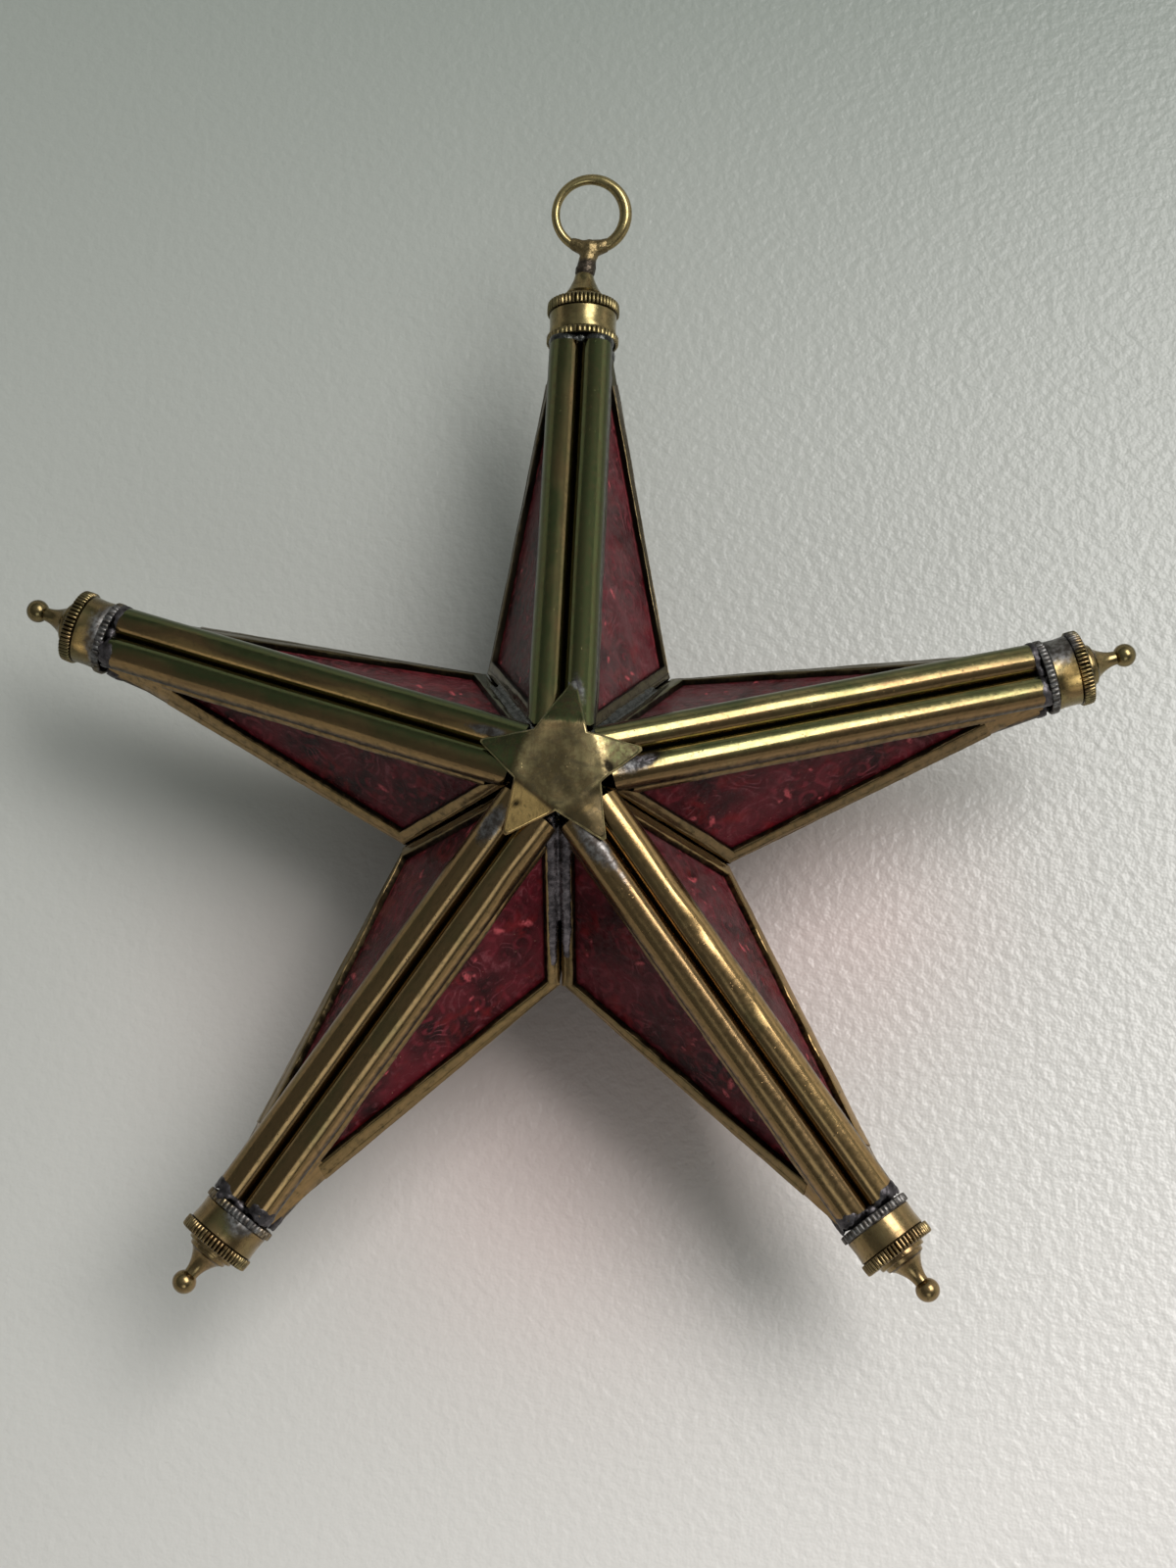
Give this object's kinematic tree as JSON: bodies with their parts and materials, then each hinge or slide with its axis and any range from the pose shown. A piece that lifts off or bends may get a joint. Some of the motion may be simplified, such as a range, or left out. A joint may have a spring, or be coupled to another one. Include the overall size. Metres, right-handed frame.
{
  "type": "hanging star ornament",
  "caption": "Hollow double-sided five-pointed star of ruby glass panes in soldered brass frames, with knurled brass end caps and a ring to hang it by.",
  "frame": {"origin": "middle of the outer face of the back centre star, on which the star rests when it lies on its back", "axes": "+Z out of the star's front, +Y from its middle towards the arm with the hanging ring"},
  "size_m": [0.1879, 0.1955, 0.0614],
  "materials": {
    "aged_brass": "sheet brass, aged olive to golden, satin with fine scratches and pits",
    "turned_brass": "turned and knurled brass, semi-gloss with dark pits and tarnish",
    "solder": "grey tin and lead solder, lumpy and dull with bright spots",
    "ruby_glass": "dark ruby red pressed glass with a faint rosette pattern, glossy"
  },
  "bodies": {
    "root": {"frame_top_right_front": "aged_brass", "glass_top_right_front": "ruby_glass", "frame_top_right_back": "aged_brass", "glass_top_right_back": "ruby_glass", "frame_top_left_front": "aged_brass", "glass_top_left_front": "ruby_glass", "frame_top_left_back": "aged_brass", "glass_top_left_back": "ruby_glass", "solder_cap_top": "solder", "cap_top": "turned_brass", "frame_left_upper_front": "aged_brass", "glass_left_upper_front": "ruby_glass", "frame_left_upper_back": "aged_brass", "glass_left_upper_back": "ruby_glass", "frame_left_lower_front": "aged_brass", "glass_left_lower_front": "ruby_glass", "frame_left_lower_back": "aged_brass", "glass_left_lower_back": "ruby_glass", "solder_cap_left": "solder", "cap_left": "turned_brass", "frame_lower_left_left_front": "aged_brass", "glass_lower_left_left_front": "ruby_glass", "frame_lower_left_left_back": "aged_brass", "glass_lower_left_left_back": "ruby_glass", "frame_lower_left_right_front": "aged_brass", "glass_lower_left_right_front": "ruby_glass", "frame_lower_left_right_back": "aged_brass", "glass_lower_left_right_back": "ruby_glass", "solder_cap_lower_left": "solder", "cap_lower_left": "turned_brass", "frame_lower_right_left_front": "aged_brass", "glass_lower_right_left_front": "ruby_glass", "frame_lower_right_left_back": "aged_brass", "glass_lower_right_left_back": "ruby_glass", "frame_lower_right_right_front": "aged_brass", "glass_lower_right_right_front": "ruby_glass", "frame_lower_right_right_back": "aged_brass", "glass_lower_right_right_back": "ruby_glass", "solder_cap_lower_right": "solder", "cap_lower_right": "turned_brass", "frame_right_lower_front": "aged_brass", "glass_right_lower_front": "ruby_glass", "frame_right_lower_back": "aged_brass", "glass_right_lower_back": "ruby_glass", "frame_right_upper_front": "aged_brass", "glass_right_upper_front": "ruby_glass", "frame_right_upper_back": "aged_brass", "glass_right_upper_back": "ruby_glass", "solder_cap_right": "solder", "cap_right": "turned_brass", "hanging_ring": "turned_brass", "solder_ring_neck": "solder", "solder_valley_top_left_front": "solder", "solder_valley_top_left_back": "solder", "solder_valley_bottom_front": "solder", "solder_valley_bottom_back": "solder", "solder_valley_top_right_front": "solder", "solder_valley_top_right_back": "solder", "centre_star_front": "aged_brass", "centre_star_back": "aged_brass"}
  },
  "joints": []
}
